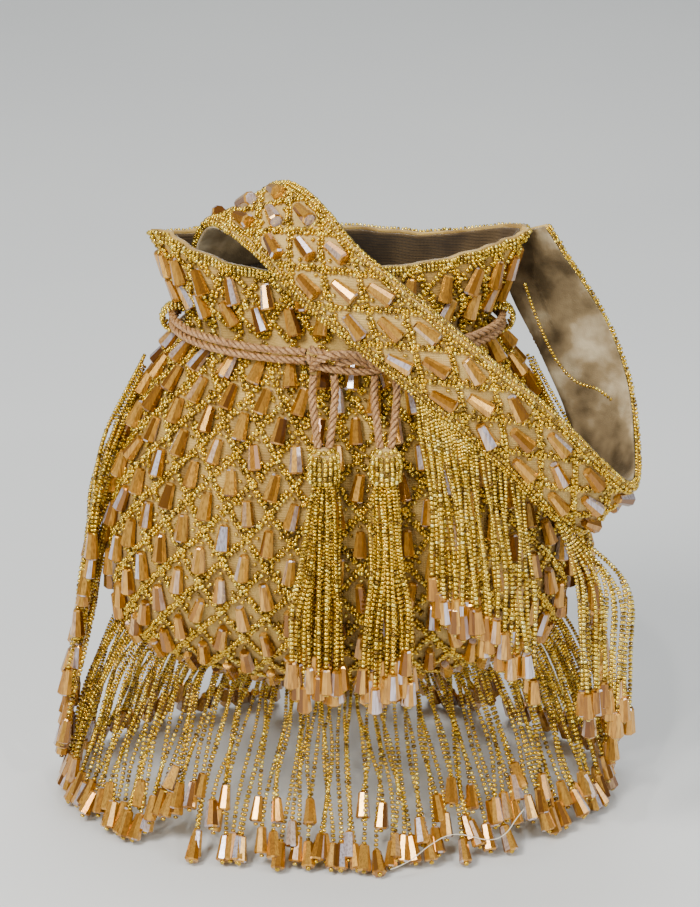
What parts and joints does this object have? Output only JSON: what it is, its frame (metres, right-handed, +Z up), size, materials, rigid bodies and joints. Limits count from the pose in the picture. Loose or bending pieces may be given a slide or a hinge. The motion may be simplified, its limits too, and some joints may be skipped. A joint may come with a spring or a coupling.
{
  "type": "potli bag",
  "caption": "Beaded drawstring pouch with a ruffled mouth, a knotted double rope with two bead tassels, a beaded strap and a skirt of bead strings.",
  "frame": {"origin": "middle of the ground under the bag, at the height of the lowest bead strings", "axes": "+Z up through the mouth, -Y out of the face with the knot and tassels, +X to the right of that face"},
  "size_m": [0.2949, 0.1974, 0.3376],
  "materials": {
    "embroidered_cloth": "cream satin under a net of gold seed beads and amber crystals",
    "brown_lining": "matt dark brown lining",
    "beaded_band": "cream band closely covered with gold seed beads and amber crystals",
    "velvet": "crushed taupe velvet",
    "rope": "copper satin rope, three plies",
    "seed_beads": "silver-lined gold seed beads with amber crystals at the ends"
  },
  "bodies": {
    "bag": {"pouch": "embroidered_cloth", "mouth_lining": "brown_lining", "strap_face": "beaded_band", "strap_lining": "velvet", "drawstring_lower": "rope", "drawstring_upper": "rope", "drawstring_knot": "rope", "cord_loop_left": "seed_beads", "cord_loop_right": "seed_beads", "loose_bead_string": "seed_beads", "front_bead_strings_1": "seed_beads", "front_bead_strings_2": "seed_beads", "front_bead_strings_3": "seed_beads", "front_bead_strings_4": "seed_beads", "front_bead_strings_5": "seed_beads", "front_bead_strings_6": "seed_beads", "front_bead_strings_7": "seed_beads", "back_bead_strings_1": "seed_beads", "back_bead_strings_2": "seed_beads", "back_bead_strings_3": "seed_beads", "back_bead_strings_4": "seed_beads", "back_bead_strings_5": "seed_beads", "back_bead_strings_6": "seed_beads", "back_bead_strings_7": "seed_beads", "left_bead_strings_lower_front": "seed_beads", "left_bead_strings_lower_back": "seed_beads", "left_bead_strings_middle": "seed_beads", "left_bead_strings_upper": "seed_beads", "right_bead_strings_lower_front": "seed_beads", "right_bead_strings_lower_back": "seed_beads", "right_bead_strings_middle": "seed_beads", "right_bead_strings_upper": "seed_beads", "strap_bead_strings_1": "seed_beads", "strap_bead_strings_2": "seed_beads", "strap_bead_strings_3": "seed_beads", "strap_bead_strings_4": "seed_beads", "strap_bead_strings_5": "seed_beads"},
    "tassel_left": {"tassel_left_rope_a": "rope", "tassel_left_rope_b": "rope", "tassel_left_head": "seed_beads", "tassel_left_skirt": "seed_beads"},
    "tassel_right": {"tassel_right_rope_a": "rope", "tassel_right_rope_b": "rope", "tassel_right_head": "seed_beads", "tassel_right_skirt": "seed_beads"}
  },
  "joints": [
    {"name": "tassel_left_lift", "type": "hinge", "parent": "bag", "child": "tassel_left", "pos_m": [-0.0065, -0.057, 0.2565], "axis": [-1, 0, 0], "range_deg": [0, 40]},
    {"name": "tassel_right_lift", "type": "hinge", "parent": "bag", "child": "tassel_right", "pos_m": [0.023, -0.057, 0.2565], "axis": [-1, 0, 0], "range_deg": [0, 40]}
  ]
}
